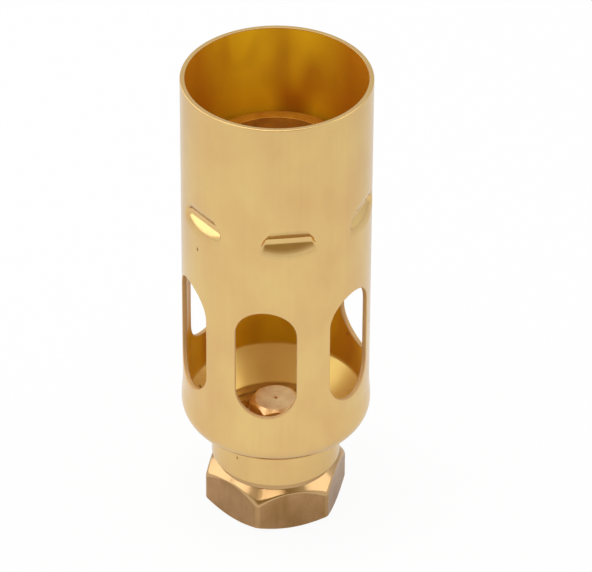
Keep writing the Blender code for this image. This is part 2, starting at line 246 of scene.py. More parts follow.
class BURNER_PG_tube(bpy.types.PropertyGroup):
    diameter: length("Diameter", 32.0, "Outside diameter of the tube")
    wall: length("Wall", 0.8, "Thickness of the drawn wall")
    edge: length("Edge", 0.18, "Round on the rim and on the slots' edges")
    burr: length("Burr", 0.06, "Round on the mouth's inner edge, which the file only just broke")
    neck_diameter: length("Neck", 22.2, "Outside diameter of the neck")
    neck_length: length("Neck length", 6.2, "Straight length of the neck")
    shoulder_round: length("Shoulder", 4.2, "Radius that turns the wall in")
    shoulder_root: length("Root", 1.3, "Radius where the shoulder meets the neck")
    shoulder_slope: angle("Slope", 80.0, "How far the shoulder turns before the root")
    cone_slope: angle("Cone", 46.0, "How far the cone inside the shoulder turns in from the wall")
    cone_round: length("Cone round", 0.6, "Round at both ends of that cone")
    swell: length("Swell", 0.25, "How far the wall swells out above the shoulder")
    swell_length: length("Swell length", 4.5, "Height over which the wall swells")
    slot_width: length("Slot width", 10.3, "Width of an air slot")
    slot_length: length("Slot length", 21.7, "Length of an air slot")
    slot_rise: length("Slot rise", 6.5, "Height of the slots above the shoulder")
    slot_margin: length("Slot margin", 1.8, "Wall above and below a slot whose mesh follows the slot")
    indent_turn: angle("Indent turn", 14.0, "Angle from a slot to the next indent")
    indent_drop: length("Indent drop", 22.5, "Depth of the indents' middle below the rim")
    indent_length: length("Indent length", 8.9, "Length of an indent along the wall")
    indent_depth: length("Indent depth", 1.25, "How deep the punch goes")
    indent_nose: length("Indent nose", 1.0, "Height of the punch's flat nose")
    indent_taper: length("Indent taper", 0.5, "How much shorter the nose is at each end")
    indent_blend: length("Indent blend", 1.5, "Round where an indent runs out into the wall")
    indent_crease: length("Indent crease", 0.25, "Round along the punch's own edges")
    indent_lean: number("Indent lean", 0.4, "How much the punch's ends spread for each step down")
    brass: colour("Brass", "#E6C582", "Polished wall")
    warm: colour("Warm brass", "#DFB77B", "Pinker clouds in the polish")
    mark: colour("Draw marks", "#D2AC6C", "Faint upright marks left by the drawing")
    cut: colour("Cut edge", "#CDA56C", "Torn metal of the slots' punched edges")
    # Inside the wall, gold is painted light and amber is painted shade; amber also stains the cone
    gold: colour("Gold", "#FFD020", "Inside of the wall above the webs between the slots")
    amber: colour("Amber", "#C88014", "Inside of the wall above the slots, where the air draws up")
    # The inner shoulder's paler colour is a painted highlight of the light that comes in through the slots
    shoulder: colour("Inner shoulder", "#FADC80", "Inside of the pressed shoulder, burnished by the tool")
    # The pit colour also paints the shade under the indents' top edges
    pit: colour("Pits", "#8E6C38", "Pits, and metal that the polish didn't reach")
    rim_cut: number("Rim cut", 0.2, "Share of the cut edges' look that the rim has")
    cut_metal: number("Cut mirror", 0.4, "Share of the cut edges that mirrors; the rest is matt")
    inside_metal: number("Inside mirror", 0.3, "Share of the inside that mirrors")
    shoulder_metal: number("Shoulder mirror", 0.6, "Share of the inner shoulder that mirrors")


class BURNER_PG_holder(bpy.types.PropertyGroup):
    land_diameter: length("Land", 25.0, "Outside diameter of the ring's flat top")
    land_width: length("Land width", 2.0, "Width of the ring's flat top")
    bevel: angle("Bevel", 45.0, "Slope of the bevel round the top")
    groove_rise: length("Groove rise", 2.5, "Height of the groove's middle above the ring's bottom")
    groove_depth: length("Groove", 0.75, "Depth of the groove that takes the indents")
    groove_mouth: length("Groove mouth", 2.75, "Height of the groove at its mouth")
    groove_root: length("Groove root", 1.25, "Height of the groove at its root")
    edge: length("Edge", 0.3, "Round on the ring's edges")
    brass: colour("Brass", "#CC9028", "Turned ring")
    heat: colour("Heat tint", "#AA6C18", "Darkened by the flame")


class BURNER_PG_connector(bpy.types.PropertyGroup):
    across_flats: length("Across flats", 22.0, "Spanner size")
    height: length("Hexagon", 8.2, "Height of the hexagon, where its top chamfer meets the spigot")
    turn: angle("Turn", -8.0, "Angle of one corner about the axis")
    corner: length("Corner", 1.0, "Round on the hexagon's upright corners")
    edge: length("Edge", 0.22, "Round on the turned edges")
    chamfer_edge: length("Chamfer edge", 0.35, "Round between the top chamfer and the flats")
    corner_wear: number("Corner wear", 0.8, "How much rounder that is at the corners")
    top_slope: angle("Top slope", 40.0, "Slope of the top chamfer")
    bottom_slope: angle("Bottom slope", 32.0, "Slope of the bottom chamfer")
    bottom_inset: length("Bottom inset", 0.2, "How far the bottom chamfer runs in past the flats")
    spigot_diameter: length("Spigot", 20.5, "Diameter of the spigot inside the neck")
    spigot_chamfer: length("Spigot chamfer", 0.2, "Chamfer at the spigot's end")
    socket_diameter: length("Socket", 14.0, "Outside diameter of the connector's female thread")
    socket_depth: length("Socket depth", 8.0, "Depth of the socket")
    socket_chamfer: length("Socket chamfer", 0.7, "Chamfer at the socket's mouth")
    drill_slope: angle("Drill point", 31.0, "Slope of the drill point above the socket")
    hole_diameter: length("Jet hole", 6.0, "Diameter of the hole for the jet")
    pitch: length("Pitch", 1.0, "Pitch of the female thread")
    thread_depth: length("Thread depth", 0.55, "Depth of the female thread")
    # The bar's dark brass and dull oxide also carry painted shade of the floor near the base
    brass: colour("Brass", "#B89066", "Drawn hexagon bar")
    dull: colour("Dull brass", "#9A7446", "Oxide left in the draw marks")
    bright: colour("Bright brass", "#C6A272", "Metal that the lathe cut")


class BURNER_PG_jet(bpy.types.PropertyGroup):
    across_flats: length("Across flats", 8.0, "Spanner size")
    head_height: length("Head", 4.4, "Height of the hexagon head")
    turn: angle("Turn", -20.0, "Angle of one corner about the axis")
    corner: length("Corner", 0.2, "Round on the head's upright corners")
    edge: length("Edge", 0.12, "Round on the head's edges")
    face_diameter: length("Face", 7.1, "Diameter of the faced top")
    face_slope: angle("Face slope", 40.0, "Slope of the head's chamfer")
    shank_diameter: length("Shank", 5.8, "Outside diameter of the thread")
    shank_chamfer: length("Shank chamfer", 0.5, "Chamfer at the shank's end")
    bore_diameter: length("Bore", 3.2, "Diameter of the bore")
    drill_slope: angle("Drill point", 31.0, "Slope of the drill point under the orifice")
    orifice_diameter: length("Orifice", 0.5, "Diameter of the pin hole")
    orifice_length: length("Orifice length", 1.0, "Length of the pin hole")
    orifice_flare: length("Orifice flare", 0.08, "Countersink at the pin hole")
    pitch: length("Pitch", 1.0, "Pitch of the thread")
    thread_depth: length("Thread depth", 0.5, "Depth of the thread")
    brass: colour("Brass", "#FFDCA0", "Turned and faced jet")
    stain: colour("Stain", "#E2B480", "Handling stains")
    washer: colour("Washer", "#C3C4C6", "Soft aluminium washer")
    washer_scuff: colour("Washer scuff", "#93959A", "Scuffs on the washer")


class BURNER_PG_filter(bpy.types.PropertyGroup):
    grain: length("Grain", 0.16, "Radius of a sintered grain")
    density: number("Density", 1.6e7, "Grains on a square metre of the plug")
    seed: IntProperty(name="Seed", description="Seed of the grains' places", default=4)
    bronze: colour("Bronze", "#A8793F", "Sintered bronze grains")
    shade: colour("Pores", "#5E3F1E", "Shade between the grains")


class BURNER_PG_stage(bpy.types.PropertyGroup):
    azimuth: angle("Azimuth", 6.15, "Camera's angle about the axis")
    pitch: angle("Pitch", 35.504, "How far the camera looks down")
    roll: angle("Roll", 0.364, "Camera's roll")
    distance: length("Distance", 770.0, "Distance from the camera to its aim")
    aim_height: length("Aim height", 43.909, "Height of the camera's aim")
    aim_aside: length("Aim aside", 3.345, "How far the aim lies to the right of the axis")
    lens: FloatProperty(name="Lens", description="Focal length", default=276.25, unit="CAMERA")
    floor_size: length("Floor", 4000.0, "Side of the floor")
    floor: colour("Floor", "#DCDCDC", "Pale floor")
    shadow_seen: number("Shadow", 0.07, "Share of the floor's tone that shows the shadow to the camera")
    shadow_mirrored: number("Mirrored shadow", 0.7, "Share of that tone that shows the shadow in the brass")
    near_floor: length("Near floor", 40.0, "Distance from the axis within which the floor is brightest")
    far_floor: length("Far floor", 160.0, "Distance from the axis beyond which the floor is darkest")
    back_floor: length("Back floor", 70.0, "Distance behind the axis at which the floor has its back tone")
    far_tone: number("Far tone", 0.74, "Brightness of the far floor")
    back_tone: number("Back tone", 0.66, "Brightness of the floor behind")
    wall: colour("Walls", "#F2F2F2", "The studio's pale walls")
    back_wall: colour("Back wall", "#D4D4D4", "The studio's wall behind the object")
    card: colour("Card", "#A08C64", "Brown card round the camera")
    card_about: angle("Card about", 6.0, "Angle of the card's middle about the axis")
    card_rise: angle("Card rise", 48.0, "Angle of the card's middle above the floor")
    card_reach: angle("Card reach", 36.0, "Half of the angle that the card fills")
    card_blur: angle("Card blur", 15.0, "Half of the angle over which the card's edge fades")


def add_node(tree, kind, inputs=(), **settings):
    """Adds a node, sets it, fills its sockets with values or links, and returns its first working output."""
    node = tree.nodes.new(kind)
    for name, value in settings.items():
        setattr(node, name, value)
    for socket, value in dict(inputs).items():
        if isinstance(value, bpy.types.NodeSocket):
            tree.links.new(value, node.inputs[socket])
        else:
            node.inputs[socket].default_value = value
    return next((out for out in node.outputs if out.enabled), None)


# Meshes


def place(radius, about, height):
    """A point at an angle about the burner's axis."""
    return Vector((radius * math.sin(about), -radius * math.cos(about), height))


def steps(start, end, count):
    """Evenly spaced values from start up to, and not with, end."""
    return [start + (end - start) * i / count for i in range(count)]


def span(start, end, count):
    """Evenly spaced values from start to end, both included."""
    return steps(start, end, count) + [end]


def rows_between(high, low, spacing):
    """Heights from high down to, and not with, low, about so far apart."""
    return steps(high, low, max(1, round((high - low) / spacing)))


def arc(centre_r, centre_z, radius, start, end, count=EDGE_STEPS):
    """Points (r, z) on an arc, both ends included, with angles from +r towards +z."""
    turns = span(start, end, count)
    return [(centre_r + radius * math.cos(a), centre_z + radius * math.sin(a)) for a in turns]


def soften(corners):
    """The points of a closed profile whose corners (r, z, round) are rounded; a round of 0 stays a point.

    A point just beside each round holds the flat next to it flat.
    """
    points = []
    for i, (r, z, size) in enumerate(corners):
        here = Vector((r, z))
        if not size:
            points.append(here)
            continue
        back = Vector(corners[i - 1][:2]) - here
        ahead = Vector(corners[(i + 1) % len(corners)][:2]) - here
        most = ROUND_MOST * min(back.length, ahead.length)
        reach = min(size / math.tan(back.angle(ahead) / 2), most)
        start = here + back.normalized() * reach
        end = here + ahead.normalized() * reach
        points.append(here + back.normalized() * reach * HOLD)
        for t in span(0.0, 1.0, EDGE_STEPS):
            points.append(start * (1 - t) ** 2 + here * (2 * t * (1 - t)) + end * t**2)
        points.append(here + ahead.normalized() * reach * HOLD)
    return points


def quads(shape, rows, closed=False):
    """Joins rows of vertices with faces, and each row's ends too where it is closed."""
    for upper, lower in zip(rows, rows[1:]):
        for i in range(len(upper) if closed else len(upper) - 1):
            k = (i + 1) % len(upper)
            shape.faces.new((upper[i], lower[i], lower[k], upper[k]))


def turned(profile_at, columns):
    """A shape whose closed profile, a list of (r, z) points, may change with the angle about the axis."""
    shape = bmesh.new()
    rows = [[shape.verts.new(place(r, about, z)) for r, z in profile_at(about)] for about in columns]
    quads(shape, rows + rows[:1], closed=True)
    return shape


def ring(corners):
    """A shape with the same profile all round."""
    profile = soften(corners)
    return turned(lambda about: profile, steps(0.0, TURN, RING_COLUMNS))


def mesh_object(name, shape, material=None):
    """Makes a shape into an object at the origin, with its faces pointing out and shaded smooth."""
    bmesh.ops.recalc_face_normals(shape, faces=shape.faces)
    for face in shape.faces:
        face.smooth = True
    mesh = bpy.data.meshes.new(name)
    shape.to_mesh(mesh)
    shape.free()
    if material:
        mesh.materials.append(material)
    made = bpy.data.objects.new(name, mesh)
    bpy.context.scene.collection.objects.link(made)
    return made


def bake(piece):
    """Turns a piece and its modifiers into a plain mesh."""
    evaluated = piece.evaluated_get(bpy.context.evaluated_depsgraph_get())
    made = bpy.data.meshes.new_from_object(evaluated)
    old = piece.data
    piece.modifiers.clear()
    piece.data = made
    bpy.data.meshes.remove(old)


def run_tree(piece, tree, values):
    """Runs a Geometry Nodes tree on a piece and keeps the result as its mesh."""
    modifier = piece.modifiers.new(tree.name, "NODES")
    modifier.node_group = tree
    for item in tree.interface.items_tree:
        if item.in_out == "INPUT" and item.name in values:
            modifier[item.identifier] = values[item.name]
    bake(piece)


def even_shading(piece):
    """Lets large faces set the normals at their edges, so that flats stay flat beside their rounds."""
    modifier = piece.modifiers.new("even_shading", "WEIGHTED_NORMAL")
    modifier.mode = "FACE_AREA"
    modifier.weight = FACE_WEIGHT
    bake(piece)


def hand_over(piece, body, node):
    """Stands a finished piece in for its node, riding on the node's body."""
    even_shading(piece)
    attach(piece, body)
    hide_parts(node)


# Geometry Nodes trees


def new_tree(name, inputs):
    """A tree with a geometry socket each way and named inputs, what adds its nodes, and its inputs."""
    tree = bpy.data.node_groups.new(name, "GeometryNodeTree")
    tree.interface.new_socket("Geometry", in_out="INPUT", socket_type="NodeSocketGeometry")
    for label, kind in inputs.items():
        tree.interface.new_socket(label, in_out="INPUT", socket_type="NodeSocket" + kind)
    tree.interface.new_socket("Geometry", in_out="OUTPUT", socket_type="NodeSocketGeometry")
    add = partial(add_node, tree)
    return tree, add, add("NodeGroupInput").node.outputs


def end_tree(tree, geometry, material):
    """Realizes what a tree made, gives it its material and sends it out."""
    add = partial(add_node, tree)
    real = add("GeometryNodeRealizeInstances", {"Geometry": geometry})
    dressed = add("GeometryNodeSetMaterial", {"Geometry": real, "Material": material})
    add("NodeGroupOutput", {"Geometry": dressed})
    return tree


def sector_tree():
    """Repeats one sector of a piece about the axis and welds the sectors together."""
    tree, add, given = new_tree("repeat_sector", {"Count": "Int", "Weld": "Float", "Material": "Material"})
    line = {"Count": given["Count"], "Offset": (0, 0, 0)}
    points = add("GeometryNodeMeshLine", line, mode="OFFSET")
    step = add("ShaderNodeMath", {0: TURN, 1: given["Count"]}, operation="DIVIDE")
    number = add("GeometryNodeInputIndex")
    turn = add("ShaderNodeMath", {0: number, 1: step}, operation="MULTIPLY")
    euler = add("ShaderNodeCombineXYZ", {"Z": turn})
    rotation = add("FunctionNodeEulerToRotation", {"Euler": euler})
    spread = {"Points": points, "Instance": given["Geometry"], "Rotation": rotation}
    copies = add("GeometryNodeInstanceOnPoints", spread)
    joined = add("GeometryNodeRealizeInstances", {"Geometry": copies})
    welded = add("GeometryNodeMergeByDistance", {"Geometry": joined, "Distance": given["Weld"]})
    return end_tree(tree, welded, given["Material"])


def thread_tree():
    """Cuts a screw thread into a turned wall: a helical groove, faded out at both ends."""
    sizes = dict.fromkeys(("Radius", "Reach", "Pitch", "Depth", "Bottom", "Top", "Fade"), "Float")
    tree, add, given = new_tree("screw_thread", sizes | {"Material": "Material"})
    spot = add("GeometryNodeInputPosition")
    axes = add("ShaderNodeSeparateXYZ", {"Vector": spot}).node.outputs
    across = add("ShaderNodeCombineXYZ", {"X": axes["X"], "Y": axes["Y"]})
    radius = add("ShaderNodeVectorMath", {0: across}, operation="LENGTH")
    outward = add("ShaderNodeVectorMath", {0: across}, operation="NORMALIZE")

    # The groove's section is a triangle wave that climbs one pitch in each turn
    about = add("ShaderNodeMath", {0: axes["Y"], 1: axes["X"]}, operation="ARCTAN2")
    turns = add("ShaderNodeMath", {0: about, 1: TURN}, operation="DIVIDE")
    climb = add("ShaderNodeMath", {0: axes["Z"], 1: given["Pitch"]}, operation="DIVIDE")
    lead = add("ShaderNodeMath", {0: climb, 1: turns}, operation="SUBTRACT")
    wave = add("ShaderNodeMath", {0: lead, 1: 0.5}, operation="PINGPONG")
    flanks = {"Value": wave, "From Min": THREAD_CREST, "From Max": THREAD_ROOT, "To Max": given["Depth"]}
    cut = add("ShaderNodeMapRange", flanks)
    for end, way in (("Bottom", "ADD"), ("Top", "SUBTRACT")):
        full = add("ShaderNodeMath", {0: given[end], 1: given["Fade"]}, operation=way)
        fade = {"Value": axes["Z"], "From Min": given[end], "From Max": full, "To Max": cut}
        cut = add("ShaderNodeMapRange", fade, interpolation_type="SMOOTHSTEP")

    inward = add("ShaderNodeMath", {0: cut, 1: -1.0}, operation="MULTIPLY")
    shift = add("ShaderNodeVectorMath", {0: outward, "Scale": inward}, operation="SCALE")
    wall = {0: radius, 1: given["Radius"], 2: given["Reach"]}
    on_wall = add("ShaderNodeMath", wall, operation="COMPARE")
    move = {"Geometry": given["Geometry"], "Selection": on_wall, "Offset": shift}
    moved = add("GeometryNodeSetPosition", move)
    return end_tree(tree, moved, given["Material"])


def grain_tree():
    """Covers a plug with sintered grains."""
    inputs = {"Density": "Float", "Grain": "Float", "Seed": "Int", "Material": "Material"}
    tree, add, given = new_tree("sintered_grains", inputs)
    over = {"Mesh": given["Geometry"], "Density": given["Density"], "Seed": given["Seed"]}
    points = add("GeometryNodeDistributePointsOnFaces", over)
    plain = {"Segments": GRAIN_COLUMNS, "Rings": GRAIN_ROWS, "Radius": given["Grain"]}
    ball = add("GeometryNodeMeshUVSphere", plain)
    sizes = {"Min": GRAIN_LEAST, "Max": GRAIN_MOST, "Seed": given["Seed"]}
    size = add("FunctionNodeRandomValue", sizes, data_type="FLOAT")
    spread = {"Points": points, "Instance": ball, "Scale": size}
    grains = add("GeometryNodeInstanceOnPoints", spread)
    real = add("GeometryNodeRealizeInstances", {"Geometry": grains})
    smooth = add("GeometryNodeSetShadeSmooth", {"Geometry": real})
    both = add("GeometryNodeJoinGeometry", {"Geometry": given["Geometry"]})
    tree.links.new(smooth, both.node.inputs["Geometry"])
    return end_tree(tree, both, given["Material"])


# Materials


def new_material(name):
    """An empty material, what adds its nodes, and the Object coordinates that its patterns read."""
    material = bpy.data.materials.new(name)
    material.use_nodes = True
    tree = material.node_tree
    tree.nodes.clear()
    add = partial(add_node, tree)
    return material, add, add("ShaderNodeTexCoord").node.outputs["Object"]


def end_material(add, inputs):
    """Ends a material's tree in its shader."""
    surface = add("ShaderNodeBsdfPrincipled", inputs)
    add("ShaderNodeOutputMaterial", {"Surface": surface})


def unevenness(add, spot, around, along, detail):
    """A pattern from 0 to 1, whose features are so long around the burner's axis and along it."""
    scale = (1 / around, 1 / around, 1 / along)
    scaled = add("ShaderNodeMapping", {"Vector": spot, "Scale": scale})
    grey = add("ShaderNodeTexNoise", {"Vector": scaled, "Scale": 1.0, "Detail": detail})
    return add("ShaderNodeMapRange", {"Value": grey} | NOISE_GREYS)


def drawn_brass(sizes, cone_top):
    """Deep-drawn brass, polished outside: a soft mirror with upright draw marks, cloudy polish and few pits.

    The inside was never polished: it is a deep, patchy gold, more matt than mirror, and paler on its cone.
    The gold, the amber and the paler cone are painted light and shade, as is the pit colour under the
    indents' top edges outside.
    """
    material, add, spot = new_material("drawn_brass_polished")
    axes = add("ShaderNodeSeparateXYZ", {"Vector": spot}).node.outputs
    inside, web, cut, dull = [
        add("ShaderNodeAttribute", attribute_name=mark).node.outputs["Fac"] for mark in WALL_MARKS
    ]
    clouds = unevenness(add, spot, *POLISH_CLOUDS)
    marks = unevenness(add, spot, *DRAW_MARKS)
    patches = unevenness(add, spot, *INSIDE_PATCHES)
    streaks = add("ShaderNodeMapRange", {"Value": marks} | TUBE_STREAKS)

    # Inside: painted light and shade, gold above the webs, amber above the slots and at both sides of the
    # mouth
    patchy = add("ShaderNodeMath", {0: web, 1: WEB_PAINTED_LIGHT, 2: patches}, operation="MULTIPLY_ADD")
    clear = add("ShaderNodeMapRange", {"Value": patchy} | CLEAR_PAINTED_LIGHT)
    off_middle = add("ShaderNodeMath", {0: axes["X"], 1: SIDE_SHADE_SHIFT}, operation="ADD")
    aside = add("ShaderNodeMath", {0: off_middle}, operation="ABSOLUTE")
    rise = {"Value": axes["Z"], "From Min": SIDE_SHADE_LOW, "From Max": SIDE_SHADE_HIGH, "To Min": SIDE_SHADE_LEAVES}
    most, least = [add("ShaderNodeMapRange", rise | {"To Max": share}) for share in (1.0, 0.0)]
    # Painted shade: the mouth's sides, left and right of the middle, go amber
    side_shade = {"Value": aside, "From Min": SIDE_SHADE_START, "From Max": SIDE_SHADE_FULL}
    left = add("ShaderNodeMapRange", side_shade | {"To Min": most, "To Max": least})
    bright = add("ShaderNodeMath", {0: clear, 1: left}, operation="MULTIPLY")
    painted_inside = add("ShaderNodeMix", {"Factor": bright, "A": sizes.amber, "B": sizes.gold}, data_type="RGBA")

    # The cone below is paler, a painted highlight, with stains of amber
    fade = sizes.cone_round / 2
    low = {"Value": axes["Z"], "From Min": cone_top + fade, "From Max": cone_top - fade}
    on_cone = add("ShaderNodeMapRange", low)
    stain = add("ShaderNodeMath", {0: patches, 1: CONE_STAIN}, operation="MULTIPLY")
    stains = {"Factor": stain, "A": sizes.shoulder, "B": sizes.amber}
    painted_cone_light = add("ShaderNodeMix", stains, data_type="RGBA")
    drawn = add("ShaderNodeMix", {"Factor": on_cone, "A": painted_inside, "B": painted_cone_light}, data_type="RGBA")

    # Pits: a small spot at the middle of each cell, drawn out a little along the tube
    cell = (1 / PIT_SPACING, 1 / PIT_SPACING, PIT_STRETCH / PIT_SPACING)
    cells = add("ShaderNodeMapping", {"Vector": spot, "Scale": cell})
    off_pit = add("ShaderNodeTexVoronoi", {"Vector": cells, "Scale": 1.0})
    pit = add("ShaderNodeMapRange", {"Value": off_pit, "From Min": PIT_RIM, "From Max": PIT_FLOOR})

    # Each coat covers those before it where its factor says. The pit colour under an indent's top edge is
    # painted shade, and the slots' punched edges are torn metal.
    coats = (
        (clouds, sizes.warm),
        (streaks, sizes.mark),
        (inside, drawn),
        (pit, sizes.pit),
        (dull, sizes.pit),
        (cut, sizes.cut),
    )
    base = sizes.brass
    for where, tint in coats:
        base = add("ShaderNodeMix", {"Factor": where, "A": base, "B": tint}, data_type="RGBA")

    # How much of the outside, the inside and the cut edges mirrors, and how sharply
    worked = {"Value": on_cone, "To Min": sizes.inside_metal, "To Max": sizes.shoulder_metal}
    mirror = add("ShaderNodeMapRange", worked)
    rough = add("ShaderNodeMapRange", {"Value": marks} | POLISH_ROUGH)
    metal = 1.0
    for where, roughness, share in ((inside, INSIDE_ROUGH, mirror), (cut, CUT_ROUGH, sizes.cut_metal)):
        rough = add("ShaderNodeMapRange", {"Value": where, "To Min": rough, "To Max": roughness})
        metal = add("ShaderNodeMapRange", {"Value": where, "To Min": metal, "To Max": share})
    bump = add("ShaderNodeBump", {"Height": marks, "Distance": DRAW_BUMP})
    end_material(add, {"Base Color": base, "Roughness": rough, "Metallic": metal, "Normal": bump})
    return material


def turned_brass(name, light, dark, groove, roughness, metal):
    """Brass turned on a lathe: fine rings from the tool, and darker stains from heat or handling."""
    material, add, spot = new_material(name)
    axes = add("ShaderNodeSeparateXYZ", {"Vector": spot}).node.outputs
    across = add("ShaderNodeCombineXYZ", {"X": axes["X"], "Y": axes["Y"]})
    radius = add("ShaderNodeVectorMath", {0: across}, operation="LENGTH")
    rings = add("ShaderNodeCombineXYZ", {"X": radius, "Z": axes["Z"]})
    tool = unevenness(add, rings, groove, groove, RING_DETAIL)
    stains = unevenness(add, spot, *LATHE_STAINS)
    base = add("ShaderNodeMix", {"Factor": stains, "A": light, "B": dark}, data_type="RGBA")
    polish = {"Value": tool, "To Min": roughness - RING_ROUGH, "To Max": roughness + RING_ROUGH}
    rough = add("ShaderNodeMapRange", polish)
    bump = add("ShaderNodeBump", {"Height": tool, "Distance": TOOL_BUMP})
    end_material(add, {"Base Color": base, "Roughness": rough, "Metallic": metal, "Normal": bump})
    return material


def bar_brass(sizes):
    """Hexagon bar: upright draw marks, oxide and painted shade dull its flats; bright where lathe or wear
    cut it.
    """
    material, add, spot = new_material("hexagon_bar_brass")
    flats = add("ShaderNodeAttribute", attribute_name=FLATS_MARK).node.outputs["Fac"]
    marks = unevenness(add, spot, *BAR_MARKS)
    blotches = unevenness(add, spot, *BAR_BLOTCHES)
    faint = add("ShaderNodeMapRange", {"Value": marks} | BAR_STREAKS)
    oxide = add("ShaderNodeMath", {0: faint, 1: blotches}, operation="MULTIPLY")
    # The flats' dark brass is partly oxide and partly painted shade of the dim floor near the base that they
    # mirror
    bar = add("ShaderNodeMix", {"Factor": oxide, "A": sizes.brass, "B": sizes.dull}, data_type="RGBA")
    base = add("ShaderNodeMix", {"Factor": flats, "A": sizes.bright, "B": bar}, data_type="RGBA")
    skin = add("ShaderNodeMapRange", {"Value": blotches} | FLATS_ROUGH)
    rough = add("ShaderNodeMapRange", {"Value": flats, "To Min": LATHE_ROUGH, "To Max": skin})
    bump = add("ShaderNodeBump", {"Height": marks, "Distance": TOOL_BUMP})
    end_material(add, {"Base Color": base, "Roughness": rough, "Metallic": 1.0, "Normal": bump})
    return material


def soft_aluminium(sizes):
    """Annealed aluminium, stamped: pale, dull and scuffed."""
    material, add, spot = new_material("annealed_aluminium")
    scuffs = unevenness(add, spot, *WASHER_SCUFFS)
    tints = {"Factor": scuffs, "A": sizes.washer, "B": sizes.washer_scuff}
    base = add("ShaderNodeMix", tints, data_type="RGBA")
    rough = add("ShaderNodeMapRange", {"Value": scuffs} | WASHER_ROUGH)
    bump = add("ShaderNodeBump", {"Height": scuffs, "Distance": SCUFF_BUMP})
    end_material(add, {"Base Color": base, "Roughness": rough, "Metallic": 1.0, "Normal": bump})
    return material


def sintered_bronze(sizes):
    """Bronze grains pressed and sintered: each catches the light, and the pores between them stay dark."""
    material, add, spot = new_material("sintered_bronze")
    pores = unevenness(add, spot, *BRONZE_PORES)
    base = add("ShaderNodeMix", {"Factor": pores, "A": sizes.bronze, "B": sizes.shade}, data_type="RGBA")
    rough = add("ShaderNodeMapRange", {"Value": pores} | BRONZE_ROUGH)
    end_material(add, {"Base Color": base, "Roughness": rough, "Metallic": 1.0})
    return material


# Burner tube


def shoulder_profile(outer, inner, low, bend, root, slope):
    """A shoulder from a wall's radius in to a neck's, down to the height low: its top, and its profile."""
    turn_in = 1 - math.cos(slope)
    run = (outer - inner - (bend + root) * turn_in) / math.sin(slope)
    top = low + (bend + root) * math.sin(slope) + run * math.cos(slope)
    bend_steps, root_steps = [max(EDGE_STEPS, round(radius * slope / ARC_STEP)) for radius in (bend, root)]
    rounds = arc(outer - bend, top, bend, 0, -slope, bend_steps)
    roots = arc(inner + root, low, root, math.pi - slope, math.pi, root_steps)
    return top, rounds + roots


def ramp(value, soft):
    """Follows a value above zero and stays at zero below, with a rounded corner."""
    if value <= -soft / 2:
        return 0.0
    if value >= soft / 2:
        return value
    return (value + soft / 2) ** 2 / (2 * soft)


def pressed(sizes, radius, about, height):
    """A point of the tube's wall, pushed in where the nearest indent's punch came in."""
    middle = sizes.indent_turn + SECTOR * round((about - sizes.indent_turn) / SECTOR)
    aside = radius * math.sin(about - middle)
    wall = radius * math.cos(about - middle)
    above = height - (TUBE_HIGH.z - sizes.indent_drop)
    flank = ramp(abs(above) - sizes.indent_nose / 2, sizes.indent_crease)
    nose = sizes.indent_length / 2 - sizes.indent_taper - above * sizes.indent_lean
    end = ramp(abs(aside) - nose, sizes.indent_crease) * sizes.indent_depth / sizes.indent_taper
    punch = radius - sizes.indent_depth + flank + end
    overlap = max(0.0, 1 - abs(wall - punch) / sizes.indent_blend)
    depth = min(wall, punch) - overlap**2 * sizes.indent_blend / 4
    return place(depth, middle, height) + place(aside, middle + TURN / 4, 0.0)


def slot_outline(sizes, bottom):
    """Round a slot from its lower left: the angle that its edge faces and the height of its arc's centre."""
    half = sizes.slot_width / 2
    low = bottom + half
    high = bottom + sizes.slot_length - half
    bend = half * TURN / 8
    side = []
    for run in steps(0.0, 2 * bend + high - low, SLOT_SIDE_STEPS)[1:]:
        if run < bend:
            side.append((run / half - TURN / 8, low))
        elif run < bend + high - low:
            side.append((0.0, low + run - bend))
        else:
            side.append(((run - bend - (high - low)) / half, high))
    quarter = span(0.0, TURN / 4, SECTOR_COLUMNS)
    below = [(a - 3 * TURN / 8, low) for a in quarter]
    above = [(a + TURN / 8, high) for a in quarter]
    other = [(TURN / 2 - a, centre) for a, centre in reversed(side)]
    return below + side + above + other


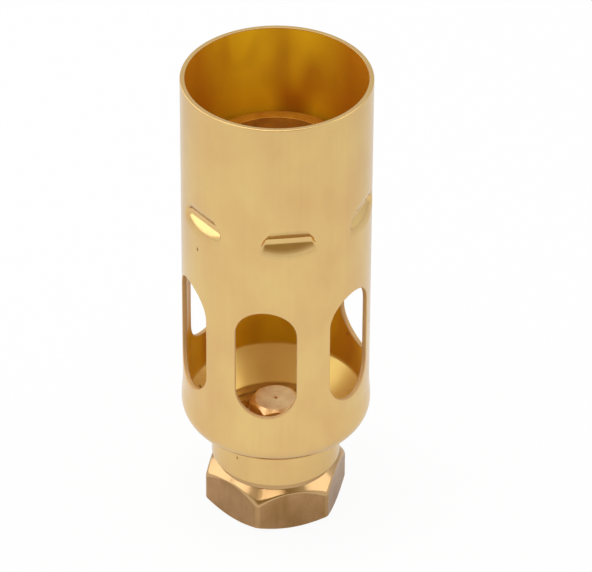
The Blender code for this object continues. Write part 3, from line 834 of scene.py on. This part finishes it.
class TubeSector:
    """One sixth of the tube's wall, outside and inside, with an air slot in its middle."""

    def __init__(self, sizes):
        self.sizes = sizes
        self.shape = bmesh.new()
        self.marks = [self.shape.verts.layers.float.new(mark) for mark in WALL_MARKS]
        self.columns = span(-SECTOR / 2, SECTOR / 2, SECTOR_COLUMNS)
        self.neck_top = TUBE_LOW.z + sizes.neck_length
        self.shoulder_top = self.shoulder(0.0)[0]
        self.cone_top = self.shoulder(sizes.wall)[0]
        self.slot_bottom = self.shoulder_top + sizes.slot_rise
        self.panel_low = self.slot_bottom - sizes.slot_margin
        self.panel_high = self.slot_bottom + sizes.slot_length + sizes.slot_margin
        self.outline = slot_outline(sizes, self.slot_bottom)
        outer = self.make_side(0.0)
        inner = self.make_side(sizes.wall)
        self.make_rim(outer["upper"][0], inner["upper"][0])
        self.make_neck_end(outer["lower"][-1], inner["lower"][-1])
        self.make_slot_edge(outer["slot"], inner["slot"])

    def vert(self, radius, about, height, inside=0.0, cut=0.0):
        """A point of the wall, marked for its material: its side, how near a web, if cut, and its painted
        shade.
        """
        sizes = self.sizes
        spot = pressed(sizes, radius, about, height)
        web = abs(about) / (SECTOR / 2)
        # Painted shade under an indent's top edge, deeper the further in the wall is pushed
        under_edge = height > TUBE_HIGH.z - sizes.indent_drop + sizes.indent_nose / 2
        pushed = (radius - spot.xy.length) / sizes.indent_depth
        dull = PAINTED_SHADE_MOST * under_edge * min(1.0, pushed / PAINTED_SHADE_RISE)
        made = self.shape.verts.new(spot)
        for mark, share in zip(self.marks, (inside, web, cut, dull)):
            made[mark] = share
        return made

    def row(self, radius, height, inside=0.0, cut=0.0):
        return [self.vert(radius, about, height, inside, cut) for about in self.columns]

    def upper_heights(self):
        """Heights of the rows above the slots, close together over the indents."""
        sizes = self.sizes
        middle = TUBE_HIGH.z - sizes.indent_drop
        band = sizes.indent_nose / 2 + sizes.indent_depth + sizes.indent_blend
        rows = rows_between(TUBE_HIGH.z - sizes.edge, middle + band, PLAIN_ROW)
        rows += rows_between(middle + band, middle - band, INDENT_ROW)
        return rows + rows_between(middle - band, self.panel_high, PLAIN_ROW) + [self.panel_high]

    def shoulder(self, inset):
        """The shoulder's top and profile, at a depth of inset: round outside, and a cone inside."""
        sizes = self.sizes
        wall = sizes.diameter / 2 - inset
        neck = sizes.neck_diameter / 2 - inset
        if inset:
            bends = (sizes.cone_round, sizes.cone_round, sizes.cone_slope)
            return shoulder_profile(wall, neck, self.neck_top, *bends)
        bends = (sizes.shoulder_round, sizes.shoulder_root, sizes.shoulder_slope)
        return shoulder_profile(wall + sizes.swell, neck, self.neck_top, *bends)

    def lower_rows(self, inset):
        """Radius and height of the rows from below the slots down to the neck's end; the outside swells."""
        sizes = self.sizes
        wall = sizes.diameter / 2 - inset
        neck_end = (sizes.neck_diameter / 2 - inset, TUBE_LOW.z + sizes.edge)
        top, shoulder = self.shoulder(inset)
        swell_top = top if inset else top + sizes.swell_length
        rows = [(wall, z) for z in rows_between(self.panel_low, swell_top, PLAIN_ROW)]
        if not inset:
            for z in rows_between(swell_top, top, SWELL_ROW):
                share = (swell_top - z) / sizes.swell_length
                rows.append((wall + sizes.swell * share**2 * (3 - 2 * share), z))
        return rows + shoulder + [neck_end]

    def make_side(self, inset):
        """Makes one side of the wall, at a depth of inset, and returns its rows and the ring at its slot."""
        inside = 1.0 if inset else 0.0
        radius = self.sizes.diameter / 2 - inset
        upper = [self.row(radius, z, inside) for z in self.upper_heights()]
        lower = [self.row(r, z, inside) for r, z in self.lower_rows(inset)]
        quads(self.shape, upper)
        quads(self.shape, lower)

        # The panel round the slot: rings of vertices from the slot's edge out to the panel's frame
        low, high = self.columns[0], self.columns[-1]
        heights = steps(self.panel_low, self.panel_high, SLOT_SIDE_STEPS)[1:]
        right = [self.vert(radius, high, z, inside) for z in heights]
        left = [self.vert(radius, low, z, inside) for z in reversed(heights)]
        border = [(about, self.panel_low) for about in self.columns] + [(high, z) for z in heights]
        border += [(about, self.panel_high) for about in reversed(self.columns)]
        border += [(low, z) for z in reversed(heights)]
        rings = []
        for share in steps(0.0, 1.0, SLOT_RINGS):
            ring_verts = []
            for i, (about, z) in enumerate(border):
                slot_about, slot_z = self.slot_spot(i, self.sizes.edge, radius)
                between_about = slot_about + (about - slot_about) * share
                between_z = slot_z + (z - slot_z) * share
                ring_verts.append(self.vert(radius, between_about, between_z, inside))
            rings.append(ring_verts)
        rings.append(lower[0] + right + upper[-1][::-1] + left)
        quads(self.shape, rings, closed=True)
        return {"upper": upper, "lower": lower, "slot": rings[0]}

    def slot_spot(self, i, grow, radius):
        """Angle and height of a point of the slot's outline, pushed out by grow."""
        facing, centre = self.outline[i]
        reach = self.sizes.slot_width / 2 + grow
        return math.asin(reach * math.cos(facing) / radius), centre + reach * math.sin(facing)

    def make_rim(self, outer_row, inner_row):
        """The mouth's rim, rounded outside and only just broken inside."""
        sizes = self.sizes
        outer = sizes.diameter / 2
        bore = outer - sizes.wall
        high = TUBE_HIGH.z
        profile = arc(outer - sizes.edge, high - sizes.edge, sizes.edge, 0, TURN / 4)[1:]
        profile += arc(bore + sizes.burr, high - sizes.burr, sizes.burr, TURN / 4, TURN / 2)
        rows = [self.row(r, z, cut=sizes.rim_cut) for r, z in profile]
        quads(self.shape, [outer_row, *rows, inner_row])

    def make_neck_end(self, outer_row, inner_row):
        """The neck's end, rounded on both sides."""
        sizes = self.sizes
        outer = sizes.neck_diameter / 2
        bore = outer - sizes.wall
        height = TUBE_LOW.z + sizes.edge
        profile = arc(outer - sizes.edge, height, sizes.edge, 0, -TURN / 4)[1:]
        profile += arc(bore + sizes.edge, height, sizes.edge, -TURN / 4, -TURN / 2)[:-1]
        quads(self.shape, [outer_row, *[self.row(r, z) for r, z in profile], inner_row])

    def make_slot_edge(self, outer_ring, inner_ring):
        """The slot's cut edge, rounded on both sides."""
        edge = self.sizes.edge
        outer = self.sizes.diameter / 2
        rounding = arc(edge, edge, edge, -TURN / 4, -TURN / 2)[1:]
        rings = [(grow, outer - depth) for grow, depth in rounding]
        rings += [(grow, outer - self.sizes.wall + depth) for grow, depth in reversed(rounding)]
        made = []
        for grow, radius in rings:
            spots = [self.slot_spot(i, grow, radius) for i in range(len(self.outline))]
            made.append([self.vert(radius, about, z, cut=1.0) for about, z in spots])
        quads(self.shape, [outer_ring, *made, inner_ring], closed=True)


class BURNER_OT_tube(bpy.types.Operator):
    """Makes the burner tube: one sector of its wall, repeated about the axis"""

    bl_idname = "burner.tube"
    bl_label = "Burner tube"

    def execute(self, context):
        sizes = context.scene.burner_tube
        sector = TubeSector(sizes)
        piece = mesh_object("drawn_tube", sector.shape)
        finish = drawn_brass(sizes, sector.cone_top)
        run_tree(piece, sector_tree(), {"Count": SECTORS, "Weld": WELD, "Material": finish})
        whole = bmesh.new()
        whole.from_mesh(piece.data)
        bmesh.ops.recalc_face_normals(whole, faces=whole.faces)
        whole.to_mesh(piece.data)
        whole.free()
        hand_over(piece, "burner", "burner_tube")
        return {"FINISHED"}


# Flame holder


class BURNER_OT_holder(bpy.types.Operator):
    """Makes the flame holder: a turned ring whose groove takes the tips of the indents"""

    bl_idname = "burner.holder"
    bl_label = "Flame holder"

    def execute(self, context):
        sizes = context.scene.burner_holder
        land = sizes.land_diameter / 2
        bore = land - sizes.land_width
        side = HOLDER_HIGH.x
        top = HOLDER_HIGH.z
        low = HOLDER_LOW.z
        middle = low + sizes.groove_rise
        groove = side - sizes.groove_depth
        edge = sizes.edge
        crisp = edge / 3
        corners = [
            (land, top, edge),
            (side, top - (side - land) * math.tan(sizes.bevel), edge),
            (side, middle + sizes.groove_mouth / 2, crisp),
            (groove, middle + sizes.groove_root / 2, crisp),
            (groove, middle - sizes.groove_root / 2, crisp),
            (side, middle - sizes.groove_mouth / 2, crisp),
            (side, low, edge),
            (bore + sizes.land_width / 2, low, edge),
            (bore, low + sizes.land_width / 2, edge),
            (bore, top, crisp),
        ]
        finish = turned_brass("turned_brass_heated", sizes.brass, sizes.heat, **HOLDER_FINISH)
        piece = mesh_object("holder_ring", ring(corners), finish)
        hand_over(piece, "burner", "flame_holder")
        return {"FINISHED"}


# Hexagon pieces


def hexagon_corner(sizes):
    """Where a hexagon's rounded corner has its centre, and the angle from there to the end of its round."""
    centre = sizes.across_flats / math.sqrt(3) - sizes.corner / math.cos(SECTOR / 2)
    return centre, math.atan2(sizes.corner / 2, centre + sizes.corner * math.cos(SECTOR / 2))


def hexagon_columns(sizes):
    """Angles about the axis for a hexagon: close together over its rounded corners."""
    tangent = hexagon_corner(sizes)[1]
    angles = []
    for k in range(SECTORS):
        corner = sizes.turn + SECTOR * k
        angles += span(corner - tangent, corner + tangent, CORNER_STEPS)
        angles += span(corner + tangent * HOLD, corner + SECTOR - tangent * HOLD, FLAT_STEPS)
    return angles


def hexagon_radius(sizes, about):
    """Distance from the axis to a hexagon's side, with its corners rounded."""
    from_corner = (about - sizes.turn + SECTOR / 2) % SECTOR - SECTOR / 2
    centre, tangent = hexagon_corner(sizes)
    if abs(from_corner) >= tangent:
        return sizes.across_flats / 2 / math.cos(SECTOR / 2 - abs(from_corner))
    aside = centre * math.sin(from_corner)
    return centre * math.cos(from_corner) + math.sqrt(sizes.corner**2 - aside**2)


def mark_flats(shape, sizes):
    """Marks the points on a hexagon's flats, less those on its worn corners, and none that the lathe cut."""
    flats = shape.verts.layers.float.new(FLATS_MARK)
    for vert in shape.verts:
        about = math.atan2(vert.co.x, -vert.co.y)
        radius = vert.co.xy.length
        out = radius * math.cos((about - sizes.turn) % SECTOR - SECTOR / 2)
        on_side = abs(radius - hexagon_radius(sizes, about)) < WELD
        on_flat = abs(out - sizes.across_flats / 2) < WELD
        vert[flats] = on_side * CORNER_OXIDE + on_flat * (1 - CORNER_OXIDE)


def thread_rows(radius, start, end, pitch):
    """Points up or down a wall that is to be threaded."""
    count = round(abs(end - start) / pitch * THREAD_ROWS_PER_PITCH)
    return [(radius, z, 0.0) for z in steps(start, end, count)]


def cut_thread(piece, sizes, radius, bottom, top, fade, material):
    """Cuts a piece's thread into its wall from bottom to top, faded in and out over a length."""
    thread = {
        "Radius": radius,
        "Reach": sizes.edge,
        "Pitch": sizes.pitch,
        "Depth": sizes.thread_depth,
        "Bottom": bottom,
        "Top": top,
        "Fade": fade,
        "Material": material,
    }
    run_tree(piece, thread_tree(), thread)


class BURNER_OT_connector(bpy.types.Operator):
    """Makes the hexagon connector, with the female thread in its socket"""

    bl_idname = "burner.connector"
    bl_label = "Hexagon connector"

    def execute(self, context):
        sizes = context.scene.burner_connector
        bottom = HEX_LOW.z
        top = HEX_HIGH.z
        flat = sizes.across_flats / 2
        bottom_land = flat - sizes.bottom_inset
        spigot = sizes.spigot_diameter / 2
        socket = sizes.socket_diameter / 2
        socket_top = bottom + sizes.socket_depth
        hole = sizes.hole_diameter / 2
        point = (socket - hole) * math.tan(sizes.drill_slope)
        wall = thread_rows(socket, bottom + sizes.socket_chamfer, socket_top, sizes.pitch)

        def profile_at(about):
            side = hexagon_radius(sizes, about)
            upper = bottom + sizes.height - (side - spigot) * math.tan(sizes.top_slope)
            lower = bottom + (side - bottom_land) * math.tan(sizes.bottom_slope)
            corners = [
                (spigot - sizes.spigot_chamfer, top, 0.0),
                (spigot, top - sizes.spigot_chamfer, 0.0),
                (spigot, bottom + sizes.height, sizes.edge),
                (side, upper, sizes.chamfer_edge + sizes.corner_wear * (side - flat)),
                (side, lower, sizes.edge),
                (bottom_land, bottom, sizes.edge / 2),
                (socket + sizes.socket_chamfer, bottom, sizes.edge / 2),
                *wall,
                (socket, socket_top, 0.0),
                (hole, socket_top + point, 0.0),
                (hole, top, 0.0),
            ]
            return soften(corners)

        shape = turned(profile_at, hexagon_columns(sizes))
        mark_flats(shape, sizes)
        piece = mesh_object("connector_body", shape)
        thread_bottom = bottom + sizes.socket_chamfer / 2
        cut_thread(piece, sizes, socket, thread_bottom, socket_top, sizes.pitch, bar_brass(sizes))
        hand_over(piece, "burner", "hex_connector")
        return {"FINISHED"}


class BURNER_OT_jet(bpy.types.Operator):
    """Makes the gas jet, with its thread and pin hole"""

    bl_idname = "burner.jet"
    bl_label = "Gas jet"

    def execute(self, context):
        sizes = context.scene.burner_jet
        top = JET_HIGH.z
        seat = top - sizes.head_height
        end = JET_LOW.z
        face = sizes.face_diameter / 2
        shank = sizes.shank_diameter / 2
        bore = sizes.bore_diameter / 2
        orifice = sizes.orifice_diameter / 2
        point_top = top - sizes.orifice_length
        point = (bore - orifice) * math.tan(sizes.drill_slope)
        wall = thread_rows(shank, seat, end + sizes.shank_chamfer, sizes.pitch)

        def profile_at(about):
            side = hexagon_radius(sizes, about)
            shoulder = top - (side - face) * math.tan(sizes.face_slope)
            corners = [
                (face, top, sizes.edge),
                (side, shoulder, sizes.edge),
                (side, seat, sizes.edge),
                *wall,
                (shank, end + sizes.shank_chamfer, 0.0),
                (shank - sizes.shank_chamfer, end, 0.0),
                (bore, end, sizes.edge),
                (bore, point_top - point, 0.0),
                (orifice, point_top, 0.0),
                (orifice, top - sizes.orifice_flare, 0.0),
                (orifice + sizes.orifice_flare, top, sizes.orifice_flare / 2),
            ]
            return soften(corners)

        piece = mesh_object("jet_body", turned(profile_at, hexagon_columns(sizes)))
        half_pitch = sizes.pitch / 2
        finish = turned_brass("turned_brass_faced", sizes.brass, sizes.stain, **JET_FINISH)
        cut_thread(piece, sizes, shank, end, seat - half_pitch, half_pitch, finish)
        hand_over(piece, "jet", "gas_jet")
        return {"FINISHED"}


# Washer and filter


class BURNER_OT_washer(bpy.types.Operator):
    """Makes the sealing washer under the jet's head"""

    bl_idname = "burner.washer"
    bl_label = "Jet washer"

    def execute(self, context):
        sizes = context.scene.burner_jet
        outer = WASHER_HIGH.x
        hole = sizes.shank_diameter / 2 + sizes.edge
        corners = [
            (outer, WASHER_HIGH.z, sizes.edge),
            (outer, WASHER_LOW.z, sizes.edge),
            (hole, WASHER_LOW.z, sizes.edge),
            (hole, WASHER_HIGH.z, sizes.edge),
        ]
        piece = mesh_object("sealing_washer", ring(corners), soft_aluminium(sizes))
        hand_over(piece, "washer", "jet_washer")
        return {"FINISHED"}


class BURNER_OT_filter(bpy.types.Operator):
    """Makes the sintered filter inside the jet's bore"""

    bl_idname = "burner.filter"
    bl_label = "Gas filter"

    def execute(self, context):
        sizes = context.scene.burner_filter
        middle = (FILTER_LOW + FILTER_HIGH) / 2
        radius = FILTER_HIGH.x - sizes.grain
        height = FILTER_HIGH.z - FILTER_LOW.z - 2 * sizes.grain
        shape = bmesh.new()
        bmesh.ops.create_cone(
            shape, cap_ends=True, segments=PLUG_COLUMNS, radius1=radius, radius2=radius, depth=height,
            matrix=Matrix.Translation(middle),
        )
        bmesh.ops.bevel(
            shape, geom=shape.edges[:], offset=sizes.grain, segments=PLUG_EDGE_STEPS, affect="EDGES"
        )
        piece = mesh_object("sintered_plug", shape)
        grains = {
            "Density": sizes.density,
            "Grain": sizes.grain,
            "Seed": sizes.seed,
            "Material": sintered_bronze(sizes),
        }
        run_tree(piece, grain_tree(), grains)
        hand_over(piece, "jet", "gas_filter")
        return {"FINISHED"}


# Stage


class BURNER_OT_stage(bpy.types.Operator):
    """Makes the floor, the studio's light and the camera"""

    bl_idname = "burner.stage"
    bl_label = "Stage"

    def make_floor(self, settings):
        """A white floor: it shows white to the camera and in the brass, and keeps a faint shadow."""
        shape = bmesh.new()
        bmesh.ops.create_grid(shape, x_segments=1, y_segments=1, size=settings.floor_size / 2)
        bmesh.ops.translate(shape, verts=shape.verts, vec=(0, 0, CAD_BOX[0].z - FLOOR_GAP))
        floor = mesh_object("floor", shape)
        material, add, spot = new_material("white_floor")
        ray = add("ShaderNodeLightPath").node.outputs
        seen = {"Value": ray["Is Camera Ray"], "To Max": 1 - settings.shadow_seen}
        mirrored = {"Value": ray["Is Glossy Ray"], "To Max": 1 - settings.shadow_mirrored}
        shares = [add("ShaderNodeMapRange", share) for share in (seen, mirrored)]
        share = add("ShaderNodeMath", dict(enumerate(shares)), operation="ADD")

        # What the brass mirrors is brightest near the object, and darker behind it
        away = add("ShaderNodeVectorMath", {0: spot}, operation="LENGTH")
        front = {
            "Value": away,
            "From Min": settings.near_floor,
            "From Max": settings.far_floor,
            "To Min": 1.0,
            "To Max": settings.far_tone,
        }
        front_tone = add("ShaderNodeMapRange", front)
        behind = {
            "Value": add("ShaderNodeSeparateXYZ", {"Vector": spot}).node.outputs["Y"],
            "From Max": settings.back_floor,
            "To Min": 1.0,
            "To Max": settings.back_tone,
        }
        back_tone = add("ShaderNodeMapRange", behind)
        toned = add("ShaderNodeMath", {0: front_tone, 1: back_tone}, operation="MULTIPLY")
        plain = add("ShaderNodeMapRange", {"Value": ray["Is Camera Ray"], "To Min": toned})
        paper = add("ShaderNodeBsdfDiffuse", {"Color": settings.floor})
        glow = add("ShaderNodeEmission", {"Strength": plain})
        mixed = add("ShaderNodeMixShader", {0: share, 1: paper, 2: glow})
        add("ShaderNodeOutputMaterial", {"Surface": mixed})
        floor.data.materials.append(material)

    def make_world(self, scene, settings):
        """Pale walls, greyer behind, and a brown card round the camera, which itself sees plain white."""
        world = bpy.data.worlds.new("studio")
        scene.world = world
        world.use_nodes = True
        tree = world.node_tree
        tree.nodes.clear()
        add = partial(add_node, tree)
        ray = add("ShaderNodeLightPath").node.outputs
        way = add("ShaderNodeTexCoord").node.outputs["Generated"]
        back = add("ShaderNodeSeparateXYZ", {"Vector": way}).node.outputs["Y"]
        behind = add("ShaderNodeMapRange", {"Value": back} | BACK_WALL)
        middle = place(math.cos(settings.card_rise), settings.card_about, math.sin(settings.card_rise))
        near_card = {
            "Value": add("ShaderNodeVectorMath", {0: way, 1: middle}, operation="DOT_PRODUCT"),
            "From Min": math.cos(settings.card_reach + settings.card_blur),
            "From Max": math.cos(settings.card_reach - settings.card_blur),
            "To Max": ray["Is Glossy Ray"],
        }
        on_card = add("ShaderNodeMapRange", near_card)
        tint = settings.wall
        coats = ((behind, settings.back_wall), (on_card, settings.card), (ray["Is Camera Ray"], WHITE))
        for where, over in coats:
            tint = add("ShaderNodeMix", {"Factor": where, "A": tint, "B": over}, data_type="RGBA")
        light = add("ShaderNodeBackground", {"Color": tint})
        add("ShaderNodeOutputWorld", {"Surface": light})

    def make_softbox(self, scene, name, about, rise, size, brightness):
        """A softbox that faces the object, at angles about and above it, and is so bright."""
        lamp = bpy.data.lights.new(name, "AREA")
        lamp.shape = "RECTANGLE"
        lamp.size, lamp.size_y = size
        lamp.energy = brightness * math.pi * lamp.size * lamp.size_y
        made = bpy.data.objects.new(name, lamp)
        way = place(math.cos(math.radians(rise)), math.radians(about), math.sin(math.radians(rise)))
        made.location = (CAD_BOX[0] + CAD_BOX[1]) / 2 + way * SOFTBOX_DISTANCE
        made.rotation_euler = way.to_track_quat("Z", "Y").to_euler()
        made.visible_camera = False
        scene.collection.objects.link(made)

    def make_camera(self, scene, settings):
        """The camera, at the photograph's viewing angle."""
        turn = Matrix.Rotation(settings.azimuth, 3, "Z")
        forward = turn @ Vector((0, math.cos(settings.pitch), -math.sin(settings.pitch)))
        right = turn @ Vector((1, 0, 0))
        aim = Vector((0, 0, settings.aim_height)) + right * settings.aim_aside
        rolled = right * math.cos(settings.roll) + right.cross(forward) * math.sin(settings.roll)
        lens = bpy.data.cameras.new("camera")
        lens.lens = settings.lens
        camera = bpy.data.objects.new("camera", lens)
        axes = Matrix((rolled, rolled.cross(forward), -forward)).transposed()
        camera.matrix_world = Matrix.Translation(aim - forward * settings.distance) @ axes.to_4x4()
        scene.collection.objects.link(camera)
        scene.camera = camera

    def execute(self, context):
        scene = context.scene
        settings = scene.burner_stage
        scene.view_settings.view_transform = "Standard"
        self.make_floor(settings)
        self.make_world(scene, settings)
        for name, about, rise, size, brightness in SOFTBOXES:
            self.make_softbox(scene, name, about, rise, size, brightness)
        self.make_camera(scene, settings)
        return {"FINISHED"}


class BURNER_PT_panel(bpy.types.Panel):
    """Lists the pieces and the stage"""

    bl_idname = "BURNER_PT_panel"
    bl_label = "Torch burner head"
    bl_space_type = "VIEW_3D"
    bl_region_type = "UI"
    bl_category = "Burner"

    def draw(self, context):
        for operator in OPERATORS:
            self.layout.operator(operator.bl_idname)
        for name in GROUPS:
            box = self.layout.box()
            group = getattr(context.scene, name)
            for prop in group.bl_rna.properties:
                if prop.identifier not in ("rna_type", "name"):
                    box.prop(group, prop.identifier)


GROUPS = {
    "burner_tube": BURNER_PG_tube,
    "burner_holder": BURNER_PG_holder,
    "burner_connector": BURNER_PG_connector,
    "burner_jet": BURNER_PG_jet,
    "burner_filter": BURNER_PG_filter,
    "burner_stage": BURNER_PG_stage,
}
OPERATORS = (
    BURNER_OT_tube,
    BURNER_OT_holder,
    BURNER_OT_connector,
    BURNER_OT_jet,
    BURNER_OT_washer,
    BURNER_OT_filter,
    BURNER_OT_stage,
)
CLASSES = (*GROUPS.values(), *OPERATORS, BURNER_PT_panel)


def register():
    for made in CLASSES:
        bpy.utils.register_class(made)
    for name, group in GROUPS.items():
        setattr(bpy.types.Scene, name, PointerProperty(type=group))


def unregister():
    for name in GROUPS:
        delattr(bpy.types.Scene, name)
    for made in reversed(CLASSES):
        bpy.utils.unregister_class(made)


def main():
    register()
    bpy.ops.burner.tube()
    bpy.ops.burner.holder()
    bpy.ops.burner.connector()
    bpy.ops.burner.jet()
    bpy.ops.burner.washer()
    bpy.ops.burner.filter()
    bpy.ops.burner.stage()


if __name__ == "__main__":
    main()
